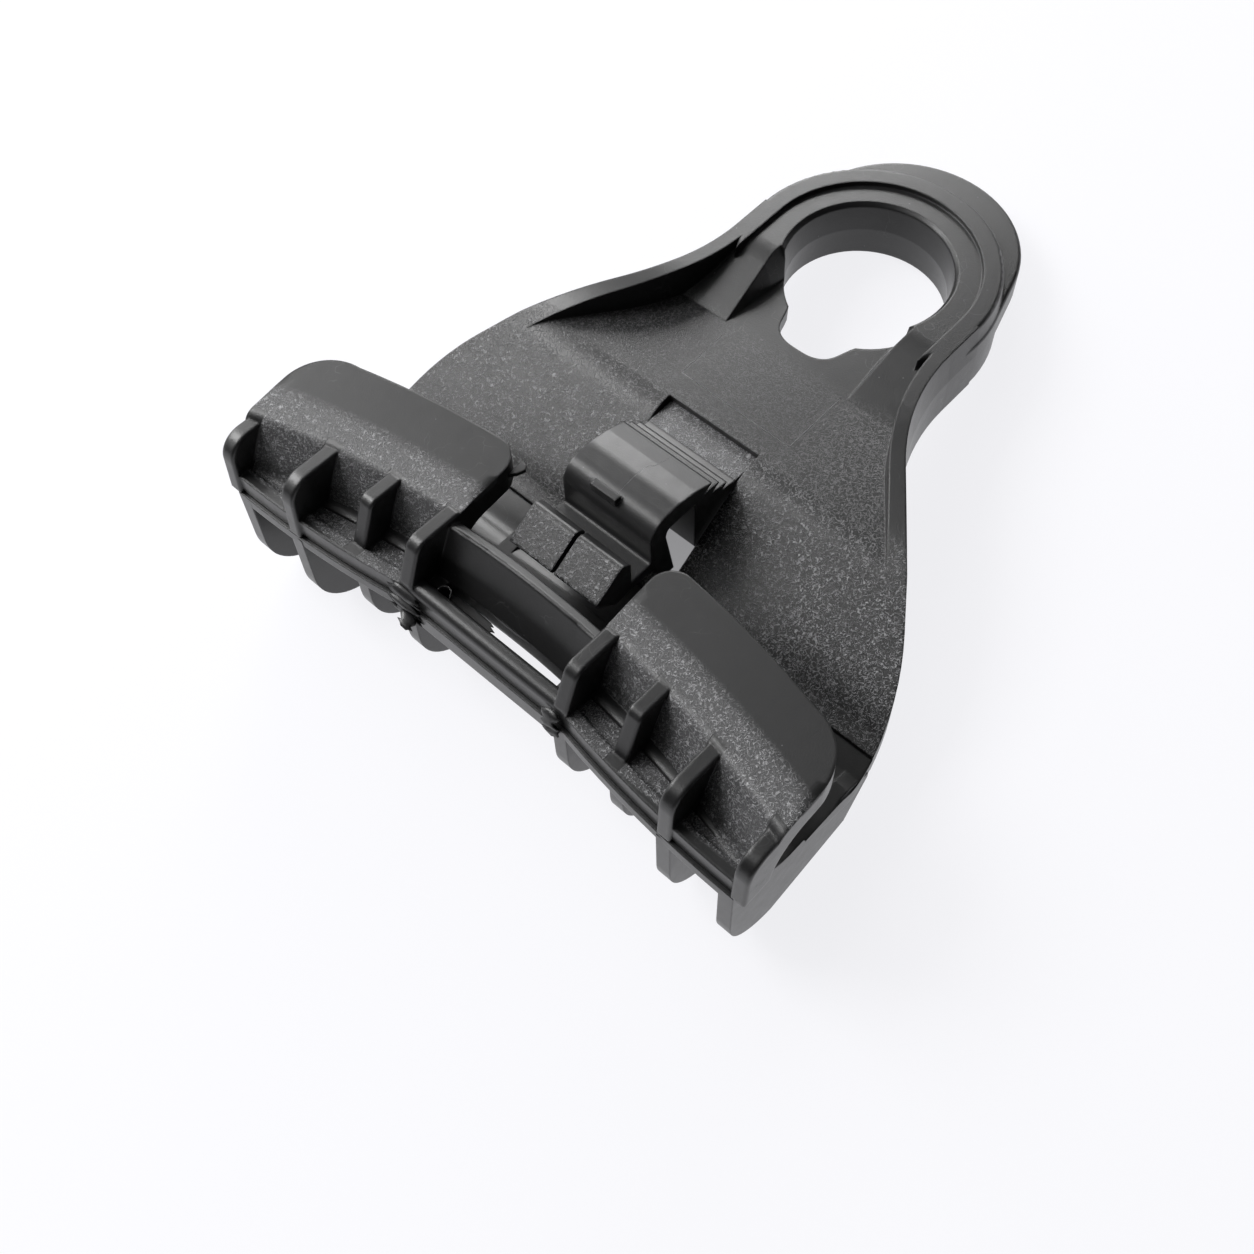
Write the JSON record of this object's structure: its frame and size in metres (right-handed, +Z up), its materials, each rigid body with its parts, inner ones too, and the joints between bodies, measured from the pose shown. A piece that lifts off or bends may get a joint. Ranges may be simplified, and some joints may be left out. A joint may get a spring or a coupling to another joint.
{
  "type": "cable suspension clamp",
  "caption": "Moulded suspension clamp with a hanging eye, an arched ribbed jaw that opens at the front, and a toothed sliding keeper that locks the cable.",
  "frame": {"origin": "centre of the hanging eye, on the mould's parting plane", "axes": "+X along the cable, +Y from the hinged front jaw to the back, +Z up as it hangs"},
  "size_m": [0.127, 0.0431, 0.1466],
  "materials": {
    "body": "satin with spark-eroded patches",
    "front_jaw": "satin with spark-eroded patches",
    "keeper": "satin"
  },
  "bodies": {
    "body": {"body": "body"},
    "front_jaw": {"front_jaw": "front_jaw"},
    "keeper": {"keeper": "keeper"}
  },
  "joints": [
    {"name": "jaw_hinge", "type": "hinge", "parent": "body", "child": "front_jaw", "pos_m": [0, 0.008, -0.1129], "axis": [1, 0, 0], "range_deg": [0, 100]},
    {"name": "keeper_slide", "type": "slide", "parent": "body", "child": "keeper", "axis": [0, 0, 1], "range_m": [-0.003, 0.006]}
  ]
}
